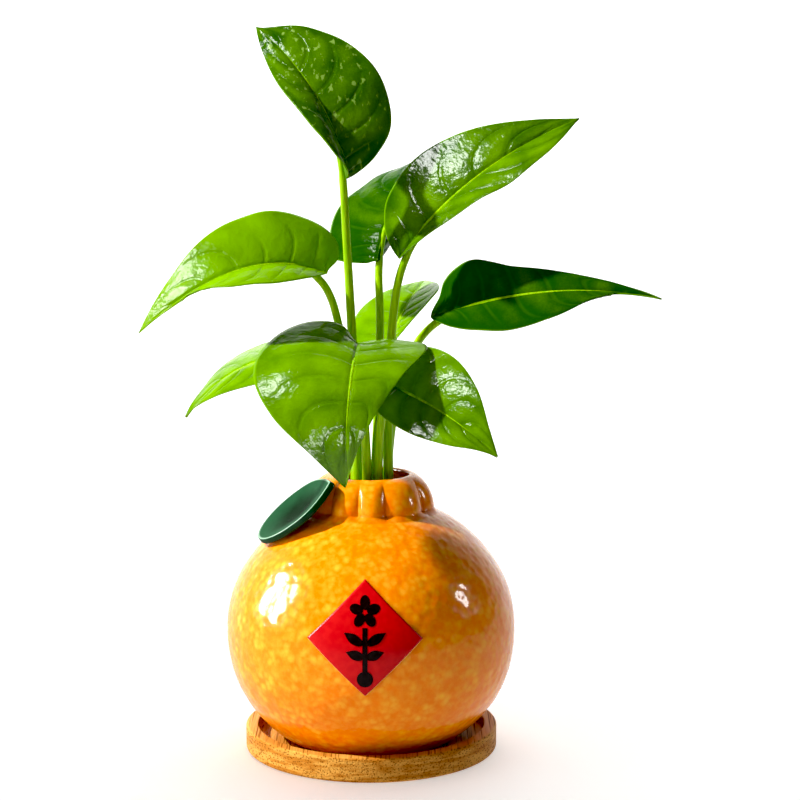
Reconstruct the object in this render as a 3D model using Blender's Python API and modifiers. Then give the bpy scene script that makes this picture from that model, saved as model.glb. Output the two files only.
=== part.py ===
"""A young pothos in a glazed pot shaped like a mandarin, standing in a round bamboo saucer.

Sizes are in millimetres and are turned into metres as each mesh is made, with +Z up. The origin is
the centre of the saucer's flat underside, on the pot's axis. The plant's front faces -Y.
"""

import math

import bmesh
import bpy
from mathutils import Vector
from mathutils.geometry import interpolate_bezier

MM = 0.001
GAP = 0.3
MERGE = 0.000001
TURN_STEPS = 56

# Saucer
SAUCER_RADIUS = 52.4
SAUCER_HEIGHT = 10.2
RECESS_RADIUS = 47.2
RECESS_FLOOR = 4.7
SAUCER_ROUNDING = 1.2

# Pot body: a squat ball made of two superellipse halves about one centre height
BODY_RADIUS = 60.0
BODY_CENTRE = 50.0
UPPER_HEIGHT = 56.0
UPPER_POWER = 2.0
LOWER_HEIGHT = 54.0
LOWER_POWER = 2.1
POT_FOOT = RECESS_FLOOR + GAP
WALL = 4.2

# Pot neck: lobed outside, round inside
SHOULDER_HEIGHT = 99.6
NECK_FOOT = 101.8
NECK_RADIUS = 26.3
NECK_POWER = 1.8
RIM_HEIGHT = 115.4
RIM_ROUNDING = 1.0
MOUTH_RADIUS = 15.6
LOBE_DEPTH = 2.6
LOBE_ROUNDNESS = 0.8
LOBE_START = -132.0
LOBE_WIDTHS = (30, 27, 47, 40, 36, 38, 36, 36, 36, 34)

# Potting mix, and the short stem that the stalks rise from
MIX_LEVEL = 98.0
STEM_RADIUS = 12.0
STEM_TOP_RADIUS = 11.0
STEM_LEVEL = 101.5

# Red diamond on the front of the pot
DIAMOND_CENTRE = (-1.6, 59.9)
DIAMOND_HALF_WIDTH = 22.4
DIAMOND_HALF_HEIGHT = 22.0
DIAMOND_THICKNESS = 0.8

# Ceramic leaf: a shallow dish lying on the left shoulder, its tip up beside the neck
DISH_CENTRE = (-31.3, -15.4, 103.9)
DISH_TOWARDS_TIP = (29.0, -13.0, 23.0)
DISH_TOWARDS_FRONT = (-0.07, -0.90, -0.42)
DISH_LENGTH = 41.0
DISH_WIDTH = 25.0
DISH_DEPTH = 3.8
DISH_WALL = 2.8

# Blades and stalks
BLADE_THICKNESS = 1.1
BLADE_ROWS = 11
BLADE_COLUMNS = 10
STALK_TOP_RADIUS = 1.6
STALK_POINTS = 9
FACE = (0.0, -1.0, 0.6)

# Halves of a blade's outline, each from the stalk to the tip: share of the length, and share of
# the half width
OUTLINES = {
    "heart": ((0, 0), (-0.09, 0.22), (-0.05, 0.62), (0.12, 0.93), (0.36, 1), (0.62, 0.74),
              (0.84, 0.31), (1, 0)),
    "round": ((0, 0), (0.01, 0.3), (0.05, 0.62), (0.15, 0.9), (0.36, 1), (0.62, 0.76),
              (0.84, 0.33), (1, 0)),
    "full": ((0, 0), (-0.06, 0.3), (-0.05, 0.64), (0.1, 0.92), (0.36, 1), (0.62, 0.84),
             (0.84, 0.42), (1, 0)),
    "ample": ((0, 0), (0.02, 0.22), (0.08, 0.52), (0.2, 0.84), (0.42, 1), (0.66, 0.92),
              (0.86, 0.56), (1, 0)),
    "late": ((0, 0), (0.05, 0.17), (0.13, 0.34), (0.26, 0.56), (0.44, 0.84), (0.62, 1),
             (0.84, 0.66), (1, 0)),
    "wedge": ((0, 0), (-0.02, 0.3), (-0.03, 0.66), (0.03, 1), (0.24, 0.78), (0.5, 0.47),
              (0.76, 0.2), (1, 0)),
    "lance": ((0, 0), (0.03, 0.36), (0.04, 0.7), (0.08, 0.93), (0.16, 1), (0.3, 0.68),
              (0.58, 0.36), (1, 0)),
    "belly": ((0, 0), (0.02, 0.2), (0.08, 0.52), (0.18, 0.82), (0.32, 1), (0.52, 0.76),
              (0.74, 0.14), (1, 0)),
}

# Each leaf: the two ends of its midrib, how far the midrib arches off the straight line between
# them, the outline of its left and right half, how far its lobes reach back, the way from the
# midrib to each margin near the stalk and (if it turns) near the tip, how far each half sags, its
# stalk's foot on the short stem, that foot's radius, and the way the stalk arrives
LEAVES = {
    "top": dict(base=(-9.2, -8, 236.7), tip=(-46.8, 16, 297.5), arch=(6, -6, 3),
                edges=("round", "ample"), lobe=0, left=(4, -18, 4), left_end=(-23, -4, -19),
                right=(28, 6, 8), right_end=(26, 6, 13), sag=(1.5, 4), foot=(-5.5, -4), radius=2.1,
                arrive=(-0.05, -0.05, 1.0)),
    "left": dict(base=(-17.6, -3, 198.3), tip=(-91, -30, 176.5), arch=(1, -2, 13),
                 edges=("belly", "full"), lobe=0.8, left=(1, -16, -5), right=(3, 12, 22),
                 right_end=(-8, 12, 20), sag=(3, 2), foot=(-6.5, 1.2), radius=1.9,
                 arrive=(-0.35, -0.1, 1.0)),
    "back_middle": dict(base=(2.6, 8, 202.3), tip=(24, 48, 245), arch=(-2, -4, 6),
                        edges=("heart", "round"), lobe=0.2, left=(-24, 10, 1.5),
                        left_end=(-20, 10, -3), right=(6, 12, 5), sag=(3, 2), foot=(1.5, -1),
                        radius=1.8, arrive=(-0.1, 0.2, 1.0)),
    "upper_right": dict(base=(11.6, -4, 204.4), tip=(85, 10, 260.5), arch=(-5, -5, 5),
                        edges=("round", "late"), lobe=0.4, left=(-15, 8, 17), right=(5, -11, -6.5),
                        sag=(3, 2), foot=(7.2, -4), radius=2.2, arrive=(0.2, -0.05, 1.0)),
    "right": dict(base=(24.7, 2, 179.9), tip=(117, -14, 188.5), arch=(2, -2, 7),
                  edges=("lance", "belly"), lobe=0.1, left=(1, 10, 19), right=(0, -11, -11),
                  sag=(2, 2), foot=(6.5, 1.5), radius=2.1, arrive=(0.8, 0.0, 1.0)),
    "small_back": dict(base=(8.0, 14, 168), tip=(23, 50, 191), arch=(0, -2, 4),
                       edges=("heart", "late"), lobe=0.8, left=(-20, 3, 1), right=(11, -6, 2),
                       sag=(3, -2), foot=(2.5, 5), radius=1.6, arrive=(0.1, 0.5, 1.0)),
    "front": dict(base=(-4.8, -18, 171.5), tip=(-9.3, -50, 118.5), arch=(-1, -13, 6),
                  edges=("heart", "wedge"), lobe=1.0, left=(-34, 3, 15), left_end=(-42, 0, 0),
                  right=(28.5, 3, 1), sag=(8, 3), foot=(-1.3, -8), radius=2.1,
                  arrive=(-0.1, -0.5, 1.0)),
    "lower_right": dict(base=(6.4, -14, 154.4), tip=(50, -46, 130), arch=(1, -4, 3),
                        edges=("heart", "heart"), lobe=0.8, left=(9, 5, 21), left_end=(11, 6, 15),
                        right=(-8, -11, -10.5), right_end=(-6, -9, -8), sag=(3, 2), foot=(2.9, -7),
                        radius=2.0, arrive=(0.3, -0.4, 1.0)),
    "lower_left": dict(base=(-22, 7, 163), tip=(-77.7, 18, 136), arch=(-4, 2, 8),
                       edges=("heart", "heart"), lobe=0.8, left=(0, -11, -5.5), right=(-3, 18, 7),
                       sag=(3, 3), foot=(-3.5, 6.5), radius=1.7, arrive=(-0.8, 0.0, 1.0)),
}


def clear_scene():
    for obj in list(bpy.data.objects):
        bpy.data.objects.remove(obj, do_unlink=True)


def glaze(name, colour, roughness):
    """A plain material with the piece's colour and gloss."""
    material = bpy.data.materials.new(name)
    material.use_nodes = True
    shader = material.node_tree.nodes["Principled BSDF"]
    shader.inputs["Base Color"].default_value = (*colour, 1.0)
    shader.inputs["Roughness"].default_value = roughness
    shader.inputs["Metallic"].default_value = 0.0
    return material


def add_object(name, shape, material):
    """Makes a named object of a bmesh whose sizes are in millimetres."""
    bmesh.ops.scale(shape, verts=shape.verts, vec=(MM, MM, MM))
    bmesh.ops.remove_doubles(shape, verts=shape.verts, dist=MERGE)
    bmesh.ops.recalc_face_normals(shape, faces=shape.faces)
    mesh = bpy.data.meshes.new(name)
    shape.to_mesh(mesh)
    shape.free()
    mesh.shade_smooth()
    mesh.set_sharp_from_angle(angle=math.radians(40))
    mesh.materials.append(material)
    obj = bpy.data.objects.new(name, mesh)
    parts.objects.link(obj)
    return obj


def turned(profile, steps=TURN_STEPS):
    """A closed solid of revolution from (radius, height) points, both ends on the axis."""
    shape = bmesh.new()
    verts = [shape.verts.new((r, 0, z)) for r, z in profile]
    edges = [shape.edges.new(pair) for pair in zip(verts, verts[1:])]
    bmesh.ops.spin(shape, geom=verts + edges, cent=(0, 0, 0), axis=(0, 0, 1),
                   angle=math.tau, steps=steps, use_merge=True)
    bmesh.ops.remove_doubles(shape, verts=shape.verts, dist=0.001)
    return shape


def arc(centre, radius, start, end, count):
    """Points on a circle in the (radius, height) plane, angles in degrees."""
    points = []
    for i in range(count + 1):
        angle = math.radians(start + (end - start) * i / count)
        points.append((centre[0] + radius * math.cos(angle), centre[1] + radius * math.sin(angle)))
    return points


def ball_radius(height, inset=0.0):
    """Radius of the pot's ball at a height, or of the same ball made smaller by an inset."""
    above = height > BODY_CENTRE
    reach = (UPPER_HEIGHT if above else LOWER_HEIGHT) - inset
    power = UPPER_POWER if above else LOWER_POWER
    share = min(abs(height - BODY_CENTRE) / reach, 1.0)
    return (BODY_RADIUS - inset) * (1 - share**power) ** (1 / power)


def ball_wall(low, high, count, inset=0.0):
    """(radius, height) points up the ball's wall, closer together where it curves most."""
    points = []
    start = math.asin(max(-1.0, (low - BODY_CENTRE) / (LOWER_HEIGHT - inset)))
    end = math.asin(min(1.0, (high - BODY_CENTRE) / (UPPER_HEIGHT - inset)))
    for i in range(count + 1):
        angle = start + (end - start) * i / count
        reach = (UPPER_HEIGHT if angle > 0 else LOWER_HEIGHT) - inset
        height = BODY_CENTRE + reach * math.sin(angle)
        points.append((ball_radius(height, inset), height))
    return points


def neck_wall(count):
    """(radius, height) points up the outside of the neck, from the shoulder to the lip."""
    shoulder = ball_radius(SHOULDER_HEIGHT)
    points = []
    for i in range(1, 4):
        share = i / 3
        points.append((shoulder + (NECK_RADIUS - shoulder) * share,
                       SHOULDER_HEIGHT + (NECK_FOOT - SHOULDER_HEIGHT) * share**1.15))
    inner = MOUTH_RADIUS + RIM_ROUNDING
    for i in range(1, count + 1):
        angle = math.pi / 2 * i / count
        points.append((inner + (NECK_RADIUS - inner) * math.cos(angle) ** (2 / NECK_POWER),
                       NECK_FOOT + (RIM_HEIGHT - NECK_FOOT) * math.sin(angle) ** (2 / NECK_POWER)))
    return points


def lobe(azimuth):
    """0 in a valley between two lobes of the neck, 1 on a lobe's ridge."""
    left = (math.degrees(azimuth) - LOBE_START) % 360
    for width in LOBE_WIDTHS:
        if left <= width:
            return math.sin(math.pi * left / width) ** LOBE_ROUNDNESS
        left -= width
    return 0.0


def build_saucer(material):
    bottom = SAUCER_ROUNDING * 1.3
    top = SAUCER_ROUNDING
    lip = SAUCER_ROUNDING * 0.5
    profile = [(0, 0)]
    profile += arc((SAUCER_RADIUS - bottom, bottom), bottom, -90, 0, 3)
    profile += arc((SAUCER_RADIUS - top, SAUCER_HEIGHT - top), top, 0, 90, 3)
    profile += arc((RECESS_RADIUS + lip, SAUCER_HEIGHT - lip), lip, 90, 180, 2)
    profile += arc((RECESS_RADIUS - lip, RECESS_FLOOR + lip), lip, 0, -90, 2)
    profile += [(0, RECESS_FLOOR)]
    add_object("bamboo_saucer", turned(profile), material)


def build_pot(material):
    floor = POT_FOOT + WALL
    bore_start = 99.0
    profile = [(0, POT_FOOT)]
    profile += ball_wall(POT_FOOT, SHOULDER_HEIGHT, 16)
    profile += neck_wall(7)
    profile += arc((MOUTH_RADIUS + RIM_ROUNDING, RIM_HEIGHT - RIM_ROUNDING), RIM_ROUNDING,
                   100, 180, 3)
    profile += reversed(ball_wall(floor, bore_start, 10, WALL))
    profile += [(0, floor)]
    shape = turned(profile)
    for vert in shape.verts:
        radius = math.hypot(vert.co.x, vert.co.y)
        if vert.co.z < SHOULDER_HEIGHT or radius < MOUTH_RADIUS + 2 * RIM_ROUNDING:
            continue
        if vert.co.z < 100 and radius < NECK_RADIUS:
            continue
        above_foot = max(0.0, (vert.co.z - NECK_FOOT) / (RIM_HEIGHT - NECK_FOOT))
        fade = min(1.0, (vert.co.z - SHOULDER_HEIGHT) / (NECK_FOOT - SHOULDER_HEIGHT))
        fade *= 1 - above_foot**3
        dip = LOBE_DEPTH * fade * (1 - lobe(math.atan2(vert.co.y, vert.co.x)))
        vert.co.x *= 1 - dip / radius
        vert.co.y *= 1 - dip / radius
    add_object("pot", shape, material)


def build_mix(material):
    inset = WALL + GAP
    floor = POT_FOOT + inset
    profile = [(0, floor)] + ball_wall(floor, MIX_LEVEL, 10, inset) + [(0, MIX_LEVEL)]
    add_object("potting_mix", turned(profile, 40), material)


def build_short_stem(material):
    low = MIX_LEVEL + GAP
    profile = [(0, low), (STEM_RADIUS, low), (STEM_TOP_RADIUS, STEM_LEVEL), (0, STEM_LEVEL)]
    add_object("short_stem", turned(profile, 32), material)


def build_diamond(material):
    """A thin square plate on its corner, bent round the ball and 0.3 mm clear of it."""
    shape = bmesh.new()
    bmesh.ops.create_grid(shape, x_segments=8, y_segments=8, size=1)
    centre_x, centre_z = DIAMOND_CENTRE
    for vert in shape.verts:
        across = (vert.co.x - vert.co.y) / 2
        up = (vert.co.x + vert.co.y) / 2
        height = centre_z + up * DIAMOND_HALF_HEIGHT
        radius = ball_radius(height) + GAP
        azimuth = math.asin((centre_x + across * DIAMOND_HALF_WIDTH) / radius)
        vert.co = (radius * math.sin(azimuth), -radius * math.cos(azimuth), height)
    bmesh.ops.recalc_face_normals(shape, faces=shape.faces)
    if sum(face.normal.y for face in shape.faces) > 0:
        bmesh.ops.reverse_faces(shape, faces=shape.faces)
    obj = add_object("red_diamond", shape, material)
    thicken(obj, DIAMOND_THICKNESS, 1.0)


def build_dish(material):
    """A lens-shaped leaf, round at one end and pointed at the other, hollowed like a dish."""
    along = Vector(DISH_TOWARDS_TIP).normalized()
    front = Vector(DISH_TOWARDS_FRONT)
    front = (front - along * front.dot(along)).normalized()
    up = along.cross(front)
    if up.z < 0:
        up = -up
    shape = bmesh.new()
    bmesh.ops.create_circle(shape, cap_ends=True, segments=32, radius=1)
    for _ in range(3):
        inner = [face for face in shape.faces if len(face.verts) > 4]
        bmesh.ops.inset_region(shape, faces=inner, thickness=0.24, use_even_offset=False)
    bmesh.ops.poke(shape, faces=[face for face in shape.faces if len(face.verts) > 4])
    for vert in shape.verts:
        x, y = vert.co.x, vert.co.y
        half_width = math.sqrt(max(0.0, 1 - x * x))
        out = abs(y) / half_width if half_width > 0.001 else 1.0
        narrow = (1 - x**2.6) ** 0.9 / half_width if 0 < x < 0.999 else 1.0
        height = -DISH_DEPTH * (1 - min(out, 1.0) ** 1.3) * (1 - abs(x) ** 3)
        vert.co = (Vector(DISH_CENTRE) + along * (x * DISH_LENGTH / 2)
                   + front * (y * narrow * DISH_WIDTH / 2) + up * height)
    bmesh.ops.recalc_face_normals(shape, faces=shape.faces)
    if sum(face.normal.dot(up) for face in shape.faces) < 0:
        bmesh.ops.reverse_faces(shape, faces=shape.faces)
    obj = add_object("ceramic_leaf", shape, material)
    thicken(obj, DISH_WALL, -1.0)


def thicken(obj, thickness, offset):
    """Gives an open surface a wall: offset 1 builds it outwards, -1 inwards, 0 both ways."""
    wall = obj.modifiers.new("Wall", "SOLIDIFY")
    wall.thickness = thickness * MM
    wall.offset = offset
    wall.use_rim = True


def edge_outline(edge, share):
    """A point on one half of a blade's outline, on a smooth curve through its points."""
    given = OUTLINES[edge]
    spans = len(given) - 1
    span = min(int(share * spans), spans - 1)
    t = share * spans - span
    before = (given[1][0], -given[1][1])
    beyond = (2 - given[-2][0], -given[-2][1])
    points = (before, *given, beyond)
    values = []
    for a, b, c, d in zip(*points[span:span + 4]):
        values.append(0.5 * (2 * b + (c - a) * t + (2 * a - 5 * b + 4 * c - d) * t * t
                             + (3 * b - a - 3 * c + d) * t**3))
    return values


def midrib(leaf, share):
    """A point on the arched midrib; a negative share runs on straight behind the stalk."""
    base, tip, arch = Vector(leaf["base"]), Vector(leaf["tip"]), Vector(leaf["arch"])
    if share < 0:
        return base + (tip - base + arch * 4) * share
    return base + (tip - base) * share + arch * (4 * share * (1 - share))


def upper_side(leaf):
    """The way that a blade's upper side faces, next to the stalk."""
    across = Vector(leaf["right"]) - Vector(leaf["left"])
    along = midrib(leaf, 0.1) - midrib(leaf, 0)
    normal = across.cross(along).normalized()
    return normal if normal.dot(Vector(FACE)) > 0 else -normal


def build_blade(name, leaf, material):
    """A heart-shaped blade: rows of points fan out from the midrib to the outline."""
    up = upper_side(leaf)
    shape = bmesh.new()
    bmesh.ops.create_grid(shape, x_segments=BLADE_COLUMNS, y_segments=BLADE_ROWS, size=1)
    for vert in shape.verts:
        across, row = vert.co.x, (vert.co.y + 1) / 2
        side = 0 if across < 0 else 1
        out = abs(across)
        edge_along, edge_out = edge_outline(leaf["edges"][side], row)
        if edge_along < 0:
            edge_along *= leaf["lobe"]
        start = row**1.25
        along = start + (edge_along - start) * out**1.15
        width = edge_out * out
        name_of_side = ("left", "right")[side]
        near_stalk = Vector(leaf[name_of_side])
        near_tip = Vector(leaf.get(f"{name_of_side}_end", near_stalk))
        vert.co = (midrib(leaf, along) + near_stalk.lerp(near_tip, row * row) * width
                   - up * leaf["sag"][side] * width * width)
    bmesh.ops.remove_doubles(shape, verts=shape.verts, dist=0.01)
    bmesh.ops.recalc_face_normals(shape, faces=shape.faces)
    if sum(face.normal.dot(up) * face.calc_area() for face in shape.faces) < 0:
        bmesh.ops.reverse_faces(shape, faces=shape.faces)
    obj = add_object(f"leaf_{name}", shape, material)
    thicken(obj, BLADE_THICKNESS, 0.0)


def build_stalk(name, leaf, material):
    """One tapering stalk from the short stem to the underside of its blade."""
    up = upper_side(leaf)
    arrive = Vector(leaf["arrive"]).normalized()
    slope = math.sqrt(max(0.0, 1 - arrive.dot(up) ** 2))
    under = BLADE_THICKNESS / 2 + GAP + STALK_TOP_RADIUS * slope
    foot = Vector((*leaf["foot"], STEM_LEVEL + GAP))
    seat = Vector(leaf["base"]) - up * under
    reach = (seat - foot).length / 3
    points = interpolate_bezier(foot, foot + Vector((0, 0, reach)), seat - arrive * reach, seat,
                                STALK_POINTS)
    curve = bpy.data.curves.new(f"stalk_{name}", "CURVE")
    curve.dimensions = "3D"
    curve.bevel_depth = MM
    curve.bevel_resolution = 2
    curve.use_fill_caps = True
    spline = curve.splines.new("POLY")
    spline.points.add(STALK_POINTS - 1)
    for i, (target, point) in enumerate(zip(spline.points, points)):
        share = i / (STALK_POINTS - 1)
        target.co = (*(point * MM), 1)
        target.radius = leaf["radius"] + (STALK_TOP_RADIUS - leaf["radius"]) * share
    curve.materials.append(material)
    parts.objects.link(bpy.data.objects.new(f"stalk_{name}", curve))


clear_scene()
parts = bpy.data.collections.new("potted_pothos")
cutters = bpy.data.collections.new("cutters")
bpy.context.scene.collection.children.link(parts)
bpy.context.scene.collection.children.link(cutters)
build_saucer(glaze("bamboo", (0.62, 0.34, 0.10), 0.45))
build_pot(glaze("orange_glaze", (0.90, 0.36, 0.02), 0.08))
build_mix(glaze("potting_mix", (0.05, 0.03, 0.02), 0.95))
build_short_stem(glaze("short_stem", (0.12, 0.16, 0.03), 0.7))
build_diamond(glaze("red_enamel", (0.62, 0.01, 0.02), 0.35))
build_dish(glaze("celadon_glaze", (0.02, 0.10, 0.05), 0.12))
leaf_green = glaze("leaf_green", (0.07, 0.22, 0.01), 0.25)
stalk_green = glaze("stalk_green", (0.17, 0.32, 0.03), 0.4)
for leaf_name, leaf_sizes in LEAVES.items():
    build_stalk(leaf_name, leaf_sizes, stalk_green)
    build_blade(leaf_name, leaf_sizes, leaf_green)
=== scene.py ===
import math
import random

import bmesh
import bpy
from mathutils import Matrix, Vector, noise
from mathutils.geometry import interpolate_bezier


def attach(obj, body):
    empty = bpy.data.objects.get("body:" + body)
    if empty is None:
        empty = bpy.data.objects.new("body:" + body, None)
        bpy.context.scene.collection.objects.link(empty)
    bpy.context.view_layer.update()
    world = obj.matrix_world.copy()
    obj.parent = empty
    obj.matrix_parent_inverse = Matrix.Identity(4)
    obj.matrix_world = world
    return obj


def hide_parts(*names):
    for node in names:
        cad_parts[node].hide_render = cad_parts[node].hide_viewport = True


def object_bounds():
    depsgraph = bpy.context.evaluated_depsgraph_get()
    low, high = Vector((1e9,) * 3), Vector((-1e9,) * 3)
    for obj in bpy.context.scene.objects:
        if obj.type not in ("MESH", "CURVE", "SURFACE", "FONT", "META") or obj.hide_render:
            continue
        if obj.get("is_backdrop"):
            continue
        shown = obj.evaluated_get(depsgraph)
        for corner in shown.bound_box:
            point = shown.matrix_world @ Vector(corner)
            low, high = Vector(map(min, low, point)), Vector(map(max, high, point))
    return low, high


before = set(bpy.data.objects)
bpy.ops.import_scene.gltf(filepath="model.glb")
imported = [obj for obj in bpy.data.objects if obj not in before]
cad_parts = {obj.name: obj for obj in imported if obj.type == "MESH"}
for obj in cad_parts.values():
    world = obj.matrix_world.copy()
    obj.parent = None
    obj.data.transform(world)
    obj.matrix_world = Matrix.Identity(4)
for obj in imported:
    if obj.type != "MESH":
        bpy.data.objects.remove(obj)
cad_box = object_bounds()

# Camera: a short telephoto a little above the plant, looking slightly down on it.
# It stands 12 mm right of the pot's axis, as the plant leans to that side.
CAMERA_PLACE = (0.012, -0.823, 0.2586)
CAMERA_TILT = 7.8
CAMERA_LENS = 91.0

camera = bpy.data.objects.new("camera", bpy.data.cameras.new("camera"))
camera.location = CAMERA_PLACE
camera.rotation_euler = (math.radians(90 - CAMERA_TILT), 0, 0)
camera.data.lens = CAMERA_LENS
camera.data.clip_start = 0.01
bpy.context.scene.collection.objects.link(camera)
bpy.context.scene.camera = camera


# Bamboo saucer: turned from a laminated bamboo board, with a shallow recess for the pot.
# Its fibres run from front to back, so the sides show streaks and the front shows their ends.
MM = 0.001
SAUCER_RADIUS = 52.4
SAUCER_HEIGHT = 10.2
SAUCER_EDGE = 1.2
SAUCER_FOOT_EDGE = SAUCER_EDGE * 1.3
SAUCER_STEPS = 192
RECESS_RADIUS = 47.2
RECESS_FLOOR = 4.7
RECESS_EDGE = SAUCER_EDGE * 0.5
FLAT_RING = 0.6
SEAM_GAP = 0.0005
GRAIN_TURN = 0.09
BAMBOO_PALE = (0.66, 0.34, 0.075)
BAMBOO_HONEY = (0.44, 0.17, 0.025)
BAMBOO_DARK = (0.11, 0.028, 0.003)


class Shade:
    """One output socket of a finish; sums and products of shades add their Math nodes."""

    def __init__(self, finish, socket):
        self.finish = finish
        self.socket = socket

    def math(self, operation, *values):
        return self.finish.node("ShaderNodeMath", {"operation": operation}, dict(enumerate(values)))

    def __add__(self, other):
        return self.math("ADD", self, other)

    __radd__ = __add__

    def __sub__(self, other):
        return self.math("SUBTRACT", self, other)

    def __rsub__(self, other):
        return self.math("SUBTRACT", other, self)

    def __mul__(self, other):
        return self.math("MULTIPLY", self, other)

    __rmul__ = __mul__

    def __abs__(self):
        return self.math("ABSOLUTE", self)

    def __round__(self):
        return self.math("ROUND", self)

    def highest(self, other):
        return self.math("MAXIMUM", self, other)

    def stepped(self, low, high):
        """0 below low and 1 above high, with a smooth rise between them."""
        return self.finish.node("ShaderNodeMapRange", {"interpolation_type": "SMOOTHSTEP"},
                                {"Value": self, "From Min": low, "From Max": high})


class Finish:
    """A material of one Principled shader, and the nodes that vary it over the surface."""

    def __init__(self, name, **constants):
        self.material = bpy.data.materials.new(name)
        self.material.use_nodes = True
        self.tree = self.material.node_tree
        self.shader = self.tree.nodes["Principled BSDF"]
        for words, value in constants.items():
            socket = words.replace("_", " ").title().replace("Ior", "IOR")
            self.shader.inputs[socket].default_value = value

    def node(self, kind, settings=None, values=None, output=0):
        """Adds a node with its settings, and with a value or a link for each socket given."""
        made = self.tree.nodes.new(kind)
        for word, setting in (settings or {}).items():
            setattr(made, word, setting)
        for place, value in (values or {}).items():
            if isinstance(value, Shade):
                self.tree.links.new(value.socket, made.inputs[place])
            else:
                made.inputs[place].default_value = value
        return Shade(self, made.outputs[output])

    def object_place(self, stretch=(1, 1, 1), turn=0.0):
        """Object coordinates in millimetres, stretched by a factor along each axis."""
        place = self.node("ShaderNodeTexCoord", output=3)
        scale = tuple(1 / (MM * s) for s in stretch)
        return self.node("ShaderNodeMapping", {},
                         {"Vector": place, "Scale": scale, "Rotation": (0, 0, turn)})

    def painted(self, name):
        """The value that the mesh holds at each point under this name."""
        return self.node("ShaderNodeAttribute", {"attribute_name": name}, output=2)

    def patches(self, place, scale, detail):
        """Soft clouds with values about 0.5; a larger scale makes them smaller."""
        return self.node("ShaderNodeTexNoise", {}, {"Vector": place, "Scale": scale, "Detail": detail})

    def colours(self, share, low, high):
        """Between two colours; each is a plain colour or a shade."""
        low, high = [c if isinstance(c, Shade) else (*c, 1) for c in (low, high)]
        return self.node("ShaderNodeMix", {"data_type": "RGBA"}, {0: share, 6: low, 7: high}, output=2)

    def use(self, socket, shade):
        self.tree.links.new(shade.socket, self.shader.inputs[socket])

    def relief(self, height, distance, strength):
        """Makes the skin look raised where the height is large; the distance is in metres."""
        bump = self.node("ShaderNodeBump", {},
                         {"Height": height, "Distance": distance, "Strength": strength})
        self.use("Normal", bump)


def piece_of(name, shape, *finishes, turn_out=True):
    """Makes a piece of a bmesh whose sizes are in millimetres."""
    bmesh.ops.scale(shape, verts=shape.verts, vec=(MM, MM, MM))
    if turn_out:
        bmesh.ops.recalc_face_normals(shape, faces=shape.faces)
    mesh = bpy.data.meshes.new(name)
    shape.to_mesh(mesh)
    shape.free()
    mesh.shade_smooth()
    for finish in finishes:
        mesh.materials.append(finish.material)
    piece = bpy.data.objects.new(name, mesh)
    bpy.context.scene.collection.objects.link(piece)
    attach(piece, "root")
    return piece


def arc(centre, radius, start, end, count):
    """Points on a circle in the (radius, height) plane, angles in degrees."""
    points = []
    for i in range(count + 1):
        angle = math.radians(start + (end - start) * i / count)
        points.append((centre[0] + radius * math.cos(angle), centre[1] + radius * math.sin(angle)))
    return points


def turned(profile, steps):
    """Spins (radius, height) points round the pot's axis; both ends lie on it."""
    shape = bmesh.new()
    verts = [shape.verts.new((r, 0, z)) for r, z in profile]
    edges = [shape.edges.new(pair) for pair in zip(verts, verts[1:])]
    bmesh.ops.spin(shape, geom=verts + edges, cent=(0, 0, 0), axis=(0, 0, 1),
                   angle=math.tau, steps=steps, use_merge=True)
    bmesh.ops.remove_doubles(shape, verts=shape.verts, dist=SEAM_GAP)
    return shape


def bamboo_finish():
    """Streaks along the fibres, dark dots where their bundles end, and the board's strips."""
    finish = Finish("bamboo", roughness=0.5, specular_ior_level=0.04)
    fibres = finish.patches(finish.object_place((0.55, 30, 0.55), GRAIN_TURN), 1.0, 1.0)
    bundles = finish.node("ShaderNodeTexVoronoi", {},
                          {"Vector": finish.object_place((0.9, 60, 0.8), GRAIN_TURN), "Scale": 1.0})
    strips = finish.patches(finish.object_place((9, 300, 1.4), GRAIN_TURN), 1.0, 1.0)
    vein = fibres.stepped(0.35, 0.72)
    dots = 1 - bundles.stepped(0.15, 0.5)
    tone = finish.colours(strips.stepped(0.35, 0.65), BAMBOO_HONEY, BAMBOO_PALE)
    tone = finish.colours(vein * 0.4, tone, BAMBOO_HONEY)
    finish.use("Base Color", finish.colours(dots * 0.75, tone, BAMBOO_DARK))
    finish.use("Roughness", 0.42 + dots * 0.2)
    finish.relief(vein - dots * 0.8, 0.00012, 0.7)
    return finish


saucer_profile = [(0, 0), (SAUCER_RADIUS * FLAT_RING, 0)]
saucer_profile += arc((SAUCER_RADIUS - SAUCER_FOOT_EDGE, SAUCER_FOOT_EDGE), SAUCER_FOOT_EDGE, -90, 0, 8)
saucer_profile += arc((SAUCER_RADIUS - SAUCER_EDGE, SAUCER_HEIGHT - SAUCER_EDGE), SAUCER_EDGE, 0, 90, 8)
saucer_profile += arc((RECESS_RADIUS + RECESS_EDGE, SAUCER_HEIGHT - RECESS_EDGE), RECESS_EDGE, 90, 180, 6)
saucer_profile += arc((RECESS_RADIUS - RECESS_EDGE, RECESS_FLOOR + RECESS_EDGE), RECESS_EDGE, 0, -90, 6)
saucer_profile += [(RECESS_RADIUS * FLAT_RING, RECESS_FLOOR), (0, RECESS_FLOOR)]
saucer = piece_of("turned_saucer", turned(saucer_profile, SAUCER_STEPS), bamboo_finish())
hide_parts("bamboo_saucer")


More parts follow.
